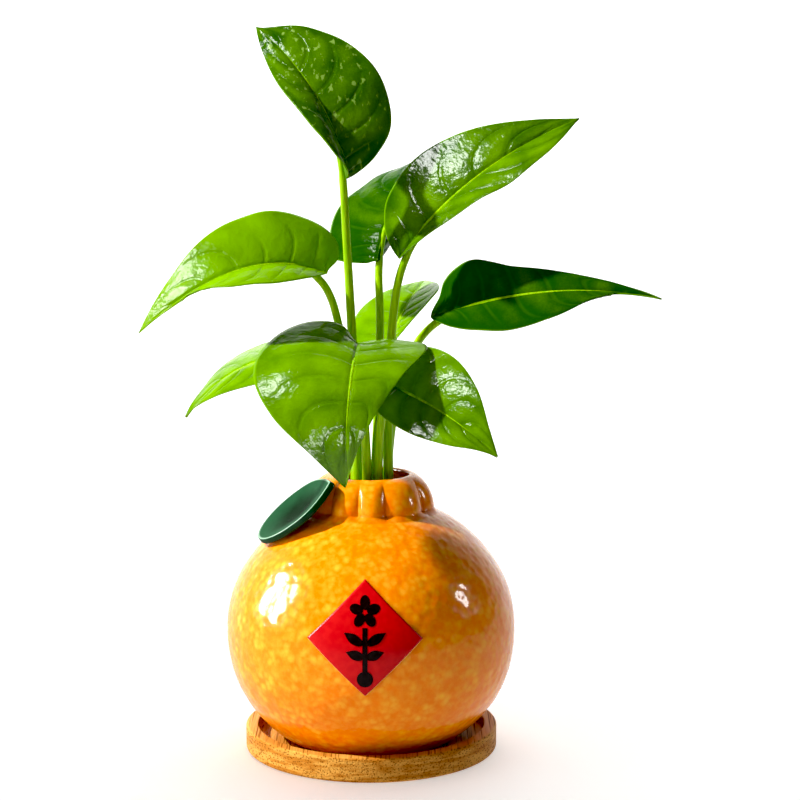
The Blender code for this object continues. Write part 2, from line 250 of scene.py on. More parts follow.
# Pot: slip-cast stoneware, a squat ball like a mandarin under a lobed neck with a round lip.
# Its skin is dimpled, and the clear orange glaze is strewn with paler beads, partly its mottle and
# partly painted sheen. It pools in the dimples. The deeper orange in the neck's valleys and in the
# crease below the neck is partly that pooling and partly painted shade, and the deepest orange, in
# the mouth, is painted shade.
BODY_RADIUS = 60.0
BODY_CENTRE = 50.0
UPPER_HEIGHT = 56.0
UPPER_POWER = 2.0
LOWER_HEIGHT = 54.0
LOWER_POWER = 2.1
POT_FOOT = RECESS_FLOOR + 0.3
POT_FOOT_RADIUS = 24.0
WALL = 4.2
INNER_TOP = 99.0
SHOULDER_HEIGHT = 99.6
COLLAR_CURVE = 1.15
NECK_FOOT = 101.8
NECK_RADIUS = 26.3
NECK_POWER = 1.8
RIM_HEIGHT = 115.4
RIM_ROUNDING = 1.0
MOUTH_RADIUS = 15.6
POT_STEPS = 384
BALL_STEPS = 170
INNER_STEPS = 18
NECK_STEPS = 36
LOBE_DEPTH = 2.6
LOBE_ROUNDNESS = 0.8
LOBE_START = -132.0
LOBE_WIDTHS = (30, 27, 47, 40, 36, 38, 36, 36, 36, 34)
CREASE_DROP = 1.2
CREASE_WIDTH = 1.6
MOUTH_SLACK = 0.4
# How deep the painted shade inside the mouth is
MOUTH_SHADE = 2.2
DIMPLE_SPACING = 3.9
DIMPLE_DEPTH = 0.16
DIMPLE_EDGE = 0.72
DIMPLE_MIDDLE = 0.15
SWELL_SPACING = 26.0
SWELL_HEIGHT = 0.35
SWELL_MIDDLE = 0.4
SKIN_LEAN = 0.9
NECK_CALM = 0.75
CALM_REACH = 4.0
# The pale colour is for beads that are partly painted sheen; the deep one is painted shade in valleys,
# crease and mouth, partly pooled glaze
GLAZE_PALE_AND_SHEEN = (0.95, 0.44, 0.035)
GLAZE_ORANGE = (0.86, 0.20, 0.002)
GLAZE_POOL_AND_SHADE = (0.62, 0.065, 0.001)


def ball_radius(height, inset=0.0):
    """The ball's radius at a height; the inset moves its wall inwards."""
    above = height > BODY_CENTRE
    reach = (UPPER_HEIGHT if above else LOWER_HEIGHT) - inset
    power = UPPER_POWER if above else LOWER_POWER
    share = min(abs(height - BODY_CENTRE) / reach, 1.0)
    return (BODY_RADIUS - inset) * (1 - share**power) ** (1 / power)


def ball_wall(low, high, count, inset=0.0):
    """(radius, height) points up the ball's wall."""
    points = []
    start = math.asin((low - BODY_CENTRE) / (LOWER_HEIGHT - inset))
    end = math.asin((high - BODY_CENTRE) / (UPPER_HEIGHT - inset))
    for i in range(count + 1):
        angle = start + (end - start) * i / count
        reach = (UPPER_HEIGHT if angle > 0 else LOWER_HEIGHT) - inset
        height = BODY_CENTRE + reach * math.sin(angle)
        points.append((ball_radius(height, inset), height))
    return points


def neck_wall(count):
    """(radius, height) points up the outside of the neck, from the shoulder to the lip."""
    shoulder = ball_radius(SHOULDER_HEIGHT)
    points = []
    for i in range(1, count // 3 + 1):
        share = i * 3 / count
        points.append((shoulder + (NECK_RADIUS - shoulder) * share,
                       SHOULDER_HEIGHT + (NECK_FOOT - SHOULDER_HEIGHT) * share**COLLAR_CURVE))
    inner = MOUTH_RADIUS + RIM_ROUNDING
    for i in range(1, count + 1):
        angle = math.pi / 2 * i / count
        points.append((inner + (NECK_RADIUS - inner) * math.cos(angle) ** (2 / NECK_POWER),
                       NECK_FOOT + (RIM_HEIGHT - NECK_FOOT) * math.sin(angle) ** (2 / NECK_POWER)))
    return points


def lobe(azimuth):
    """0 in a valley between two lobes of the neck, 1 on a lobe's ridge."""
    left = (math.degrees(azimuth) - LOBE_START) % 360
    for width in LOBE_WIDTHS:
        if left <= width:
            return math.sin(math.pi * left / width) ** LOBE_ROUNDNESS
        left -= width
    return 0.0


def smooth(low, high, value):
    """0 at low and 1 at high, with a smooth change between them."""
    share = min(max((value - low) / (high - low), 0.0), 1.0)
    return share * share * (3 - 2 * share)


def glaze_finish():
    """Pale beads, partly painted sheen, on orange. Valleys and crease are deeper orange, partly by
    pooled glaze and partly by painted shade, and the mouth deepest, by painted shade.
    """
    finish = Finish("orange_glaze", roughness=0.25, specular_ior_level=0.08,
                    coat_weight=0.3, coat_roughness=0.03)
    place = finish.object_place()
    cloud = finish.patches(place, 0.11, 3.0)
    specks = finish.patches(place, 0.55, 2.0)
    cells = finish.node("ShaderNodeTexVoronoi", {}, {"Vector": place, "Scale": 0.30})
    # Pale beads in clouds: partly the glaze's mottle, partly painted sheen
    pale_bead_and_sheen = (1 - cells.stepped(0.05, 0.8)) * cloud.stepped(0.3, 0.65)
    mottle = 0.85 - pale_bead_and_sheen * 0.7 + finish.painted("pool") * 0.15 + (specks - 0.5) * 0.9
    tone = finish.colours(mottle, GLAZE_PALE_AND_SHEEN, GLAZE_ORANGE)
    # Deeper orange in the valleys and crease is partly pooled glaze and partly painted shade; in the
    # mouth it is painted shade
    finish.use("Base Color", finish.colours(finish.painted("valley") * 0.4, tone, GLAZE_POOL_AND_SHADE))
    finish.use("Roughness", 0.2 + specks * 0.1)
    return finish


def press_skin(shape):
    """Presses the valleys into the neck and dimples into the skin, and notes where glaze pools and
    where shade is painted in the valleys, crease and mouth.
    """
    pool_layer = shape.verts.layers.float.new("pool")
    valley_shade_layer = shape.verts.layers.float.new("valley")
    for vert in shape.verts:
        radius = math.hypot(vert.co.x, vert.co.y)
        height = vert.co.z
        outside = radius > ball_radius(height) - WALL / 2 or height > SHOULDER_HEIGHT
        # The inside of the mouth gets the deepest orange: painted shade
        if radius < MOUTH_RADIUS + MOUTH_SLACK and height > BODY_CENTRE:
            vert[valley_shade_layer] = MOUTH_SHADE
            continue
        if not outside or radius < 1:
            continue
        if height > SHOULDER_HEIGHT and radius > MOUTH_RADIUS + 2 * RIM_ROUNDING:
            above_foot = max(0.0, (height - NECK_FOOT) / (RIM_HEIGHT - NECK_FOOT))
            fade = min(1.0, (height - SHOULDER_HEIGHT) / (NECK_FOOT - SHOULDER_HEIGHT))
            dip = fade * (1 - above_foot**3) * (1 - lobe(math.atan2(vert.co.y, vert.co.x)))
            vert.co.x *= 1 - LOBE_DEPTH * dip / radius
            vert.co.y *= 1 - LOBE_DEPTH * dip / radius
            # The valleys and the crease below the neck get deeper orange: partly pooled glaze, partly
            # painted shade
            crease = math.exp(-(((height - NECK_FOOT + CREASE_DROP) / CREASE_WIDTH) ** 2))
            vert[valley_shade_layer] = min(1.0, dip * 1.2 + crease * 0.7)
        calm = 1 - NECK_CALM * smooth(SHOULDER_HEIGHT - CALM_REACH, NECK_FOOT, height)
        sink = smooth(POT_FOOT - 1, POT_FOOT + CALM_REACH, height)
        wall_way = Vector((vert.co.x, vert.co.y, (height - BODY_CENTRE) * SKIN_LEAN)).normalized()
        distances, _ = noise.voronoi(vert.co / DIMPLE_SPACING)
        dimple = smooth(DIMPLE_EDGE, DIMPLE_MIDDLE, distances[0])
        swell = SWELL_HEIGHT * (noise.noise(vert.co / SWELL_SPACING) - SWELL_MIDDLE)
        vert.co += wall_way * sink * calm * (swell - DIMPLE_DEPTH * dimple)
        vert[pool_layer] = dimple * calm


pot_floor = POT_FOOT + WALL
pot_profile = [(0, POT_FOOT), (POT_FOOT_RADIUS, POT_FOOT)]
pot_profile += ball_wall(POT_FOOT, SHOULDER_HEIGHT, BALL_STEPS)
pot_profile += neck_wall(NECK_STEPS)
pot_profile += arc((MOUTH_RADIUS + RIM_ROUNDING, RIM_HEIGHT - RIM_ROUNDING), RIM_ROUNDING, 100, 180, 6)
pot_profile += reversed(ball_wall(pot_floor, INNER_TOP, INNER_STEPS, WALL))
pot_profile += [(0, pot_floor)]
pot_shape = turned(pot_profile, POT_STEPS)
press_skin(pot_shape)
pot = piece_of("glazed_pot", pot_shape, glaze_finish())
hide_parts("pot")


# Ceramic leaf: pressed from the same clay, hollowed like a dish and laid on the left shoulder
# with its tip up beside the neck. Its green glaze is dark down the outside. Inside, painted shade
# makes it darkest in the hollow, and a painted highlight runs pale along the rim.
DISH_CENTRE = (-31.3, -15.4, 103.9)
DISH_TOWARDS_TIP = (29.0, -13.0, 23.0)
DISH_TOWARDS_FRONT = (-0.07, -0.90, -0.42)
DISH_LENGTH = 41.0
DISH_WIDTH = 25.0
DISH_DEPTH = 3.8
DISH_WALL = 2.8
DISH_ROUNDING = 0.7
DISH_SHARP_ANGLE = 50
DISH_TIP_POWER = 2.6
DISH_TIP_FULLNESS = 0.9
DISH_RIM_SHARE = 0.05
DISH_SEGMENTS = 96
DISH_RINGS = 14
# Inside the dish the darkest colour paints shade in the hollow, and the rim colour paints a highlight
CELADON_HOLLOW = (0.003, 0.016, 0.005)
CELADON = (0.016, 0.072, 0.032)
CELADON_RIM_HIGHLIGHT = (0.35, 0.55, 0.42)


def dish_shape():
    """A disc drawn out to a pointed oval and hollowed; each point notes how near the rim it is."""
    along = Vector(DISH_TOWARDS_TIP).normalized()
    front = Vector(DISH_TOWARDS_FRONT)
    front = (front - along * front.dot(along)).normalized()
    up = along.cross(front)
    if up.z < 0:
        up = -up
    shape = bmesh.new()
    bmesh.ops.create_circle(shape, cap_ends=True, segments=DISH_SEGMENTS, radius=1)
    ring_width = (1 - DISH_RIM_SHARE) / DISH_RINGS
    for _ in range(DISH_RINGS):
        inner = [face for face in shape.faces if len(face.verts) > 4]
        bmesh.ops.inset_region(shape, faces=inner, thickness=ring_width, use_even_offset=False)
    bmesh.ops.poke(shape, faces=[face for face in shape.faces if len(face.verts) > 4])
    rim_layer = shape.verts.layers.float.new("rim")
    for vert in shape.verts:
        x, y = vert.co.x, vert.co.y
        half_width = math.sqrt(max(0.0, 1 - x * x))
        out = abs(y) / half_width if half_width > 0.001 else 1.0
        narrow = (1 - x**DISH_TIP_POWER) ** DISH_TIP_FULLNESS / half_width if 0 < x < 0.999 else 1.0
        height = -DISH_DEPTH * (1 - min(out, 1.0) ** 1.3) * (1 - abs(x) ** 3)
        vert[rim_layer] = math.hypot(x, y)
        vert.co = (Vector(DISH_CENTRE) + along * (x * DISH_LENGTH / 2)
                   + front * (y * narrow * DISH_WIDTH / 2) + up * height)
    bmesh.ops.recalc_face_normals(shape, faces=shape.faces)
    if sum(face.normal.dot(up) for face in shape.faces) < 0:
        bmesh.ops.reverse_faces(shape, faces=shape.faces)
    return shape


def celadon_finish():
    """Painted shade, darkest in the hollow, lighter to the edge; a pale painted highlight on the rim."""
    finish = Finish("celadon_glaze", roughness=0.3, specular_ior_level=0.0,
                    coat_weight=0.15, coat_roughness=0.02)
    rim = finish.painted("rim")
    cloud = finish.patches(finish.object_place(), 0.22, 3.0)
    # Painted shade: darkest in the hollow, lighter towards the edge
    tone = finish.colours(rim.stepped(0.25, 0.9) + (cloud - 0.5) * 0.5, CELADON_HOLLOW, CELADON)
    # Painted highlight: a pale line along the rim
    finish.use("Base Color", finish.colours(rim.stepped(0.93, 0.98) * 0.85, tone, CELADON_RIM_HIGHLIGHT))
    finish.relief(cloud, 0.0003, 0.4)
    return finish


def celadon_wall_finish():
    """The same green without the painted rim highlight, for the dish's edge and underside."""
    finish = Finish("celadon_wall", roughness=0.3, specular_ior_level=0.0,
                    coat_weight=0.3, coat_roughness=0.05)
    cloud = finish.patches(finish.object_place(), 0.22, 3.0)
    finish.use("Base Color", finish.colours(cloud, CELADON_HOLLOW, CELADON))
    return finish


dish = piece_of("dish_leaf", dish_shape(), celadon_finish(), celadon_wall_finish(), turn_out=False)
dish_wall = dish.modifiers.new("Wall", "SOLIDIFY")
dish_wall.thickness = DISH_WALL * MM
dish_wall.offset = -1
dish_wall.material_offset = 1
dish_wall.material_offset_rim = 1
dish_round = dish.modifiers.new("Round", "BEVEL")
dish_round.width = DISH_ROUNDING * MM
dish_round.segments = 4
dish_round.limit_method = "ANGLE"
dish_round.angle_limit = math.radians(DISH_SHARP_ANGLE)
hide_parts("ceramic_leaf")


# Red diamond: a square of red enamel set on its corner on the pot's front, edged with a thin
# line of gold. In its middle is a plain black sprig: a blossom, two pairs of leaves and a stem
# that ends in a round dot.
DIAMOND_CENTRE = (-1.6, 59.9)
DIAMOND_HALF_WIDTH = 22.4
DIAMOND_HALF_HEIGHT = 22.0
DIAMOND_STEPS = 40
ENAMEL_LIFT = 0.25
ENAMEL_THICKNESS = 0.55
GOLD_RADIUS = 0.2
GOLD_SIDES = 10
GOLD_STEPS = 24
INK_THICKNESS = 0.18
PETALS = 5
PETAL_LENGTH = 5.4
PETAL_WIDTH = 3.9
PETAL_REACH = 3.5
BLOSSOM_UP = 10.5
# Each pair of the sprig's leaves: height above the diamond's centre, length and lean in degrees
SPRIG_LEAVES = ((0.6, 8.6, 32), (-5.6, 7.4, 18))
SPRIG_LEAF_WIDTH = 3.9
SPRIG_LEAF_REACH = 0.52
SPRIG_LEAF_POINT = 0.75
SPRIG_STEM_UP = -4.2
SPRIG_STEM_HALF_LENGTH = 9.0
SPRIG_STEM_HALF_WIDTH = 1.0
DOT_UP = -15.2
DOT_SIZE = 6.4
RED = (0.50, 0.005, 0.010)
RED_WORN = (0.56, 0.010, 0.012)
GOLD = (0.95, 0.55, 0.16)
GOLD_PALE = (0.98, 0.70, 0.30)
INK = (0.006, 0.004, 0.005)
INK_WORN = (0.02, 0.014, 0.014)


def on_pot_front(across, up, lift):
    """A point on the ball's front, across and up from the diamond's centre, and lifted off it."""
    height = DIAMOND_CENTRE[1] + up
    radius = ball_radius(height) + lift
    azimuth = math.asin((DIAMOND_CENTRE[0] + across) / radius)
    return Vector((radius * math.sin(azimuth), -radius * math.cos(azimuth), height))


def face_front(shape):
    """Turns the faces of a thin shape towards the front."""
    bmesh.ops.recalc_face_normals(shape, faces=shape.faces)
    if sum(face.normal.y for face in shape.faces) > 0:
        bmesh.ops.reverse_faces(shape, faces=shape.faces)


def grow_tube(shape, path, radii, sides):
    """Extrudes a ring along a path, turning it as little as it can, and closes both ends."""
    places = []
    before = path[1] - path[0]
    turn = before.to_track_quat("Z", "Y")
    for i, point in enumerate(path):
        way = path[min(i + 1, len(path) - 1)] - path[max(i - 1, 0)]
        turn = before.rotation_difference(way) @ turn
        before = way
        places.append(Matrix.Translation(point) @ turn.to_matrix().to_4x4() @ Matrix.Scale(radii[i], 4))
    ring = bmesh.ops.create_circle(shape, segments=sides, radius=1)["verts"]
    bmesh.ops.transform(shape, matrix=places[0], verts=ring)
    edges = list({edge for vert in ring for edge in vert.link_edges})
    ends = list(edges)
    for old, new in zip(places, places[1:]):
        made = bmesh.ops.extrude_edge_only(shape, edges=edges)["geom"]
        ring = {part for part in made if isinstance(part, bmesh.types.BMVert)}
        edges = [part for part in made
                 if isinstance(part, bmesh.types.BMEdge) and ring.issuperset(part.verts)]
        bmesh.ops.transform(shape, matrix=new @ old.inverted(), verts=list(ring))
    bmesh.ops.holes_fill(shape, edges=ends + edges, sides=0)


def enamel_finish():
    finish = Finish("red_enamel", roughness=0.35, specular_ior_level=0.15,
                    coat_weight=0.1, coat_roughness=0.12)
    grain = finish.patches(finish.object_place(), 0.35, 4.0)
    finish.use("Base Color", finish.colours(grain.stepped(0.35, 0.7), RED, RED_WORN))
    finish.use("Roughness", 0.26 + grain * 0.12)
    finish.relief(grain, 0.0001, 0.5)
    return finish


def gold_finish():
    finish = Finish("gold_line", roughness=0.28, metallic=0.55)
    wear = finish.patches(finish.object_place(), 0.8, 3.0)
    finish.use("Base Color", finish.colours(wear.stepped(0.4, 0.7), GOLD, GOLD_PALE))
    finish.use("Roughness", 0.22 + wear * 0.2)
    return finish


def ink_finish():
    finish = Finish("black_enamel", roughness=0.4, specular_ior_level=0.15)
    cloud = finish.patches(finish.object_place(), 0.5, 2.0)
    finish.use("Base Color", finish.colours(cloud, INK, INK_WORN))
    finish.use("Roughness", 0.28 + cloud * 0.12)
    return finish


enamel_shape = bmesh.new()
bmesh.ops.create_grid(enamel_shape, x_segments=DIAMOND_STEPS, y_segments=DIAMOND_STEPS, size=1)
for vert in enamel_shape.verts:
    vert.co = on_pot_front((vert.co.x - vert.co.y) / 2 * DIAMOND_HALF_WIDTH,
                           (vert.co.x + vert.co.y) / 2 * DIAMOND_HALF_HEIGHT, ENAMEL_LIFT)
face_front(enamel_shape)
enamel = piece_of("enamel_diamond", enamel_shape, enamel_finish(), turn_out=False)
enamel_wall = enamel.modifiers.new("Wall", "SOLIDIFY")
enamel_wall.thickness = ENAMEL_THICKNESS * MM
enamel_wall.offset = 1
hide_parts("red_diamond")

gold_shape = bmesh.new()
corners = ((0, 1), (1, 0), (0, -1), (-1, 0))
for (x0, z0), (x1, z1) in zip(corners, corners[1:] + corners[:1]):
    run = [on_pot_front((x0 + (x1 - x0) * i / GOLD_STEPS) * DIAMOND_HALF_WIDTH,
                        (z0 + (z1 - z0) * i / GOLD_STEPS) * DIAMOND_HALF_HEIGHT,
                        ENAMEL_LIFT + ENAMEL_THICKNESS * 0.6) for i in range(GOLD_STEPS + 1)]
    grow_tube(gold_shape, run, [GOLD_RADIUS] * len(run), GOLD_SIDES)
gold = piece_of("gold_edge", gold_shape, gold_finish())


def ink_oval(shape, centre, length, width, turn, point=0.0):
    """A petal, leaf or dot: an oval, drawn to a point at its far end as far as point says."""
    made = bmesh.ops.create_circle(shape, cap_ends=True, segments=28, radius=1)["verts"]
    for vert in made:
        x, y = vert.co.x, vert.co.y
        y *= 1 - point * max(x, 0) ** 1.5
        x, y = x * length / 2, y * width / 2
        angle = math.radians(turn)
        across = centre[0] + x * math.cos(angle) - y * math.sin(angle)
        up = centre[1] + x * math.sin(angle) + y * math.cos(angle)
        vert.co = on_pot_front(across, up, ENAMEL_LIFT + ENAMEL_THICKNESS)


sprig_shape = bmesh.new()
for i in range(PETALS):
    turn = 90 + 360 / PETALS * i
    centre = (PETAL_REACH * math.cos(math.radians(turn)),
              BLOSSOM_UP + PETAL_REACH * math.sin(math.radians(turn)))
    ink_oval(sprig_shape, centre, PETAL_LENGTH, PETAL_WIDTH, turn)
for side in (-1, 1):
    for up, length, lean in SPRIG_LEAVES:
        turn = lean if side > 0 else 180 - lean
        centre = (side * length * SPRIG_LEAF_REACH, up)
        ink_oval(sprig_shape, centre, length, SPRIG_LEAF_WIDTH, turn, SPRIG_LEAF_POINT)
ink_oval(sprig_shape, (0.0, DOT_UP), DOT_SIZE, DOT_SIZE, 0)
stem_strip = bmesh.ops.create_grid(sprig_shape, x_segments=2, y_segments=24, size=1)["verts"]
for vert in stem_strip:
    vert.co = on_pot_front(vert.co.x * SPRIG_STEM_HALF_WIDTH,
                           SPRIG_STEM_UP + vert.co.y * SPRIG_STEM_HALF_LENGTH,
                           ENAMEL_LIFT + ENAMEL_THICKNESS)
face_front(sprig_shape)
bmesh.ops.solidify(sprig_shape, geom=sprig_shape.faces, thickness=-INK_THICKNESS)
sprig = piece_of("black_sprig", sprig_shape, ink_finish())
sprig.data.shade_flat()


# Potting mix: dark compost, tipped in loose and filled to below the neck, with crumbs on top.
# Only its top shows, down through the pot's mouth.
MIX_LEVEL = 98.0
MIX_GAP = 0.3
MIX_STEPS = 72
MIX_WALL_STEPS = 24
MIX_RINGS = (17, 14, 11, 8, 5, 2, 0)
MIX_DIP = 0.6
MIX_DIP_SPACING = 3.0
CRUMBS = 420
CRUMB_REACH = 16.34
CRUMB_SMALL = 0.35
CRUMB_LARGE = 1.1
MIX_DARK = (0.018, 0.010, 0.006)
MIX_BROWN = (0.075, 0.038, 0.018)


def mix_finish():
    finish = Finish("compost", roughness=0.95)
    crumb = finish.patches(finish.object_place(), 0.9, 5.0)
    finish.use("Base Color", finish.colours(crumb.stepped(0.35, 0.7), MIX_DARK, MIX_BROWN))
    finish.relief(crumb, 0.0008, 0.8)
    return finish


mix_inset = WALL + MIX_GAP
mix_floor = POT_FOOT + mix_inset
mix_profile = [(0, mix_floor)] + ball_wall(mix_floor, MIX_LEVEL, MIX_WALL_STEPS, mix_inset)
mix_profile += [(r, MIX_LEVEL) for r in MIX_RINGS]
mix_shape = turned(mix_profile, MIX_STEPS)
for vert in mix_shape.verts:
    if vert.co.z > MIX_LEVEL - 0.01:
        vert.co.z -= MIX_DIP * (1 + noise.noise(vert.co / MIX_DIP_SPACING))
mix_dice = random.Random(11)
for _ in range(CRUMBS):
    reach = CRUMB_REACH * math.sqrt(mix_dice.random())
    angle = math.tau * mix_dice.random()
    size = mix_dice.uniform(CRUMB_SMALL, CRUMB_LARGE)
    level = MIX_LEVEL - size * 0.9
    place = Matrix.Translation((reach * math.cos(angle), reach * math.sin(angle), level))
    squash = Matrix.Diagonal((size, size * mix_dice.uniform(0.6, 1.0), size * 0.75, 1))
    turn = Matrix.Rotation(math.tau * mix_dice.random(), 4, "Z")
    bmesh.ops.create_icosphere(mix_shape, subdivisions=1, radius=1, matrix=place @ turn @ squash)
mix = piece_of("compost", mix_shape, mix_finish())
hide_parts("potting_mix")


# Short stem: the green, knobbly stub of the vine in the compost that every stalk rises from.
STEM_RADIUS = 12.0
STEM_TOP_RADIUS = 11.0
STEM_FOOT = MIX_LEVEL + 0.3
STEM_LEVEL = 101.5
STEM_EDGE = 1.0
STEM_RINGS = (8, 6, 4, 2, 0)
STEM_STEPS = 64
KNOB_HEIGHT = 0.5
KNOB_SPACING = 2.5
KNOB_DROP = 0.4
STUB_OLIVE = (0.10, 0.13, 0.03)
STUB_GREEN = (0.14, 0.22, 0.05)


def stub_finish():
    finish = Finish("vine_stub", roughness=0.6)
    bark = finish.patches(finish.object_place((1, 1, 3)), 0.7, 3.0)
    finish.use("Base Color", finish.colours(bark.stepped(0.3, 0.7), STUB_OLIVE, STUB_GREEN))
    finish.relief(bark, 0.0005, 0.6)
    return finish


stub_profile = [(0, STEM_FOOT), (STEM_RADIUS, STEM_FOOT)]
stub_profile += arc((STEM_TOP_RADIUS - STEM_EDGE, STEM_LEVEL - STEM_EDGE), STEM_EDGE, 0, 90, 4)
stub_profile += [(r, STEM_LEVEL) for r in STEM_RINGS]
stub_shape = turned(stub_profile, STEM_STEPS)
for vert in stub_shape.verts:
    if vert.co.z > MIX_LEVEL + 1:
        vert.co.z += KNOB_HEIGHT * noise.noise(vert.co / KNOB_SPACING) - KNOB_DROP
stub = piece_of("vine_stub", stub_shape, stub_finish())
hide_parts("short_stem")


# Leaves: each is a heart-shaped blade about half a millimetre thick on one tapering stalk.
# The midrib is a groove above and a rib below, and side veins arch from it to the margin.
SIDES = ("left", "right")
BLADE_THICKNESS = 0.55
BLADE_COLUMNS = 56
BLADE_ROWS = 90
BLADE_SEAM_GAP = 0.004
ROW_POWER = 1.25
FAN_POWER = 1.15
GROOVE_DEPTH = 0.35
GROOVE_WIDTH = 0.8
SIDE_VEINS = 7
VEIN_LEAN = 0.16
VEIN_ARCH = 0.12
VEIN_DEPTH = 0.12
VEIN_WIDTH = 0.9
VEINED_LENGTH = 78
PUFF_HEIGHT = 0.18
RIPPLE_HEIGHT = 1.5
RIPPLE_SPACING = 17
FACE = (0.0, -1.0, 0.6)
STALK_TOP_RADIUS = 1.6
STALK_SIDES = 18
STALK_POINTS = 40
CAD_BLADE = 1.1
SEAT_GAP = 0.3
RIB_POINTS = 26
RIB_START = 0.03
RIB_LENGTH = 0.80
RIB_TIP_RADIUS = 0.18
KNEE_REACH = 4
KNEE_ROUNDS = 12
LEAF_DEEP = (0.010, 0.070, 0.0015)
LEAF_FRESH = (0.24, 0.50, 0.003)
LEAF_FLECK_AND_SHEEN = (0.36, 0.58, 0.12)
# Colour of the paler veins and midrib, and of the painted light along the margin
LEAF_VEIN_AND_LIT_EDGE = (0.22, 0.50, 0.01)
LEAF_UNDER = (0.16, 0.36, 0.02)
LEAF_GLOW = (0.50, 0.85, 0.004, 1)
STALK_GREEN = (0.19, 0.43, 0.006)
STALK_PALE = (0.48, 0.74, 0.02)

# Halves of a blade's outline, from the stalk to the tip: share of the length, of the half width
OUTLINES = {
    "heart": ((0, 0), (-0.09, 0.22), (-0.05, 0.62), (0.12, 0.93), (0.36, 1), (0.62, 0.74),
              (0.84, 0.31), (1, 0)),
    "round": ((0, 0), (0.01, 0.3), (0.05, 0.62), (0.15, 0.9), (0.36, 1), (0.62, 0.76),
              (0.84, 0.33), (1, 0)),
    "full": ((0, 0), (-0.06, 0.3), (-0.05, 0.64), (0.1, 0.92), (0.36, 1), (0.62, 0.84),
             (0.84, 0.42), (1, 0)),
    "ample": ((0, 0), (0.02, 0.22), (0.08, 0.52), (0.2, 0.84), (0.42, 1), (0.66, 0.92),
              (0.86, 0.56), (1, 0)),
    "late": ((0, 0), (0.05, 0.17), (0.13, 0.34), (0.26, 0.56), (0.44, 0.84), (0.62, 1),
             (0.84, 0.66), (1, 0)),
    "wedge": ((0, 0), (-0.02, 0.3), (-0.03, 0.66), (0.03, 1), (0.24, 0.78), (0.5, 0.47),
              (0.76, 0.2), (1, 0)),
    "lance": ((0, 0), (0.03, 0.36), (0.04, 0.7), (0.08, 0.93), (0.16, 1), (0.3, 0.68),
              (0.58, 0.36), (1, 0)),
    "belly": ((0, 0), (0.02, 0.2), (0.08, 0.52), (0.18, 0.82), (0.32, 1), (0.52, 0.76),
              (0.74, 0.14), (1, 0)),
}

# Each leaf: the two ends of its midrib, how far the midrib arches off the straight line, the
# outline of its left and right half, how far its lobes reach back, the way from the midrib to
# each margin near the stalk and near the tip, how far each half sags, its stalk's foot, that
# foot's radius, the way the stalk arrives, how dark the blade is, partly its own tone and partly
# painted shade, and how flecked with pale green, partly variegation and partly painted sheen
LEAVES = {
    "top": dict(base=(-9.2, -8, 236.7), tip=(-46.8, 16, 297.5), arch=(6, -6, 3),
                edges=("round", "ample"), lobe=0, left=(4, -18, 4), left_end=(-23, -4, -19),
                right=(28, 6, 8), right_end=(26, 6, 13), sag=(1.5, 4), foot=(-5.5, -4), radius=2.1,
                arrive=(-0.05, -0.05, 1.0), dark=0.75, flecked=1.0),
    "left": dict(base=(-17.6, -3, 198.3), tip=(-91, -30, 176.5), arch=(1, -2, 13),
                 edges=("belly", "full"), lobe=0.8, left=(1, -16, -5), right=(3, 12, 22),
                 right_end=(-8, 12, 20), sag=(3, 2), foot=(-6.5, 1.2), radius=1.9,
                 arrive=(-0.35, -0.1, 1.0), dark=0.1),
    "back_middle": dict(base=(2.6, 8, 202.3), tip=(24, 48, 245), arch=(-2, -4, 6),
                        edges=("heart", "round"), lobe=0.2, left=(-24, 10, 1.5),
                        left_end=(-20, 10, -3), right=(6, 12, 5), sag=(3, 2), foot=(1.5, -1),
                        radius=1.8, arrive=(-0.1, 0.2, 1.0), dark=0.95),
    "upper_right": dict(base=(11.6, -4, 204.4), tip=(85, 10, 260.5), arch=(-5, -5, 5),
                        edges=("round", "late"), lobe=0.4, left=(-15, 8, 17), right=(5, -11, -6.5),
                        sag=(3, 2), foot=(7.2, -4), radius=2.2, arrive=(0.2, -0.05, 1.0),
                        dark=0.62),
    "right": dict(base=(24.7, 2, 179.9), tip=(117, -14, 188.5), arch=(2, -2, 7),
                  edges=("lance", "belly"), lobe=0.1, left=(1, 10, 19), right=(0, -11, -11),
                  sag=(2, 2), foot=(6.5, 1.5), radius=2.1, arrive=(0.8, 0.0, 1.0), dark=1.0),
    "small_back": dict(base=(8.0, 14, 168), tip=(23, 50, 191), arch=(0, -2, 4),
                       edges=("heart", "late"), lobe=0.8, left=(-20, 3, 1), right=(11, -6, 2),
                       sag=(3, -2), foot=(2.5, 5), radius=1.6, arrive=(0.1, 0.5, 1.0), dark=0.25),
    "front": dict(base=(-4.8, -18, 171.5), tip=(-9.3, -50, 118.5), arch=(-1, -13, 6),
                  edges=("heart", "wedge"), lobe=1.0, left=(-34, 3, 15), left_end=(-42, 0, 0),
                  right=(28.5, 3, 1), sag=(8, 3), foot=(-1.3, -8), radius=2.1,
                  arrive=(-0.1, -0.5, 1.0), dark=0.44),
    "lower_right": dict(base=(6.4, -14, 154.4), tip=(50, -46, 130), arch=(1, -4, 3),
                        edges=("heart", "heart"), lobe=0.8, left=(9, 5, 21), left_end=(11, 6, 15),
                        right=(-8, -11, -10.5), right_end=(-6, -9, -8), sag=(3, 2), foot=(2.9, -7),
                        radius=2.0, arrive=(0.3, -0.4, 1.0), dark=0.55),
    "lower_left": dict(base=(-22, 7, 163), tip=(-77.7, 18, 136), arch=(-4, 2, 8),
                       edges=("heart", "heart"), lobe=0.8, left=(0, -11, -5.5), right=(-3, 18, 7),
                       sag=(3, 3), foot=(-3.5, 6.5), radius=1.7, arrive=(-0.8, 0.0, 1.0),
                       dark=0.35),
}


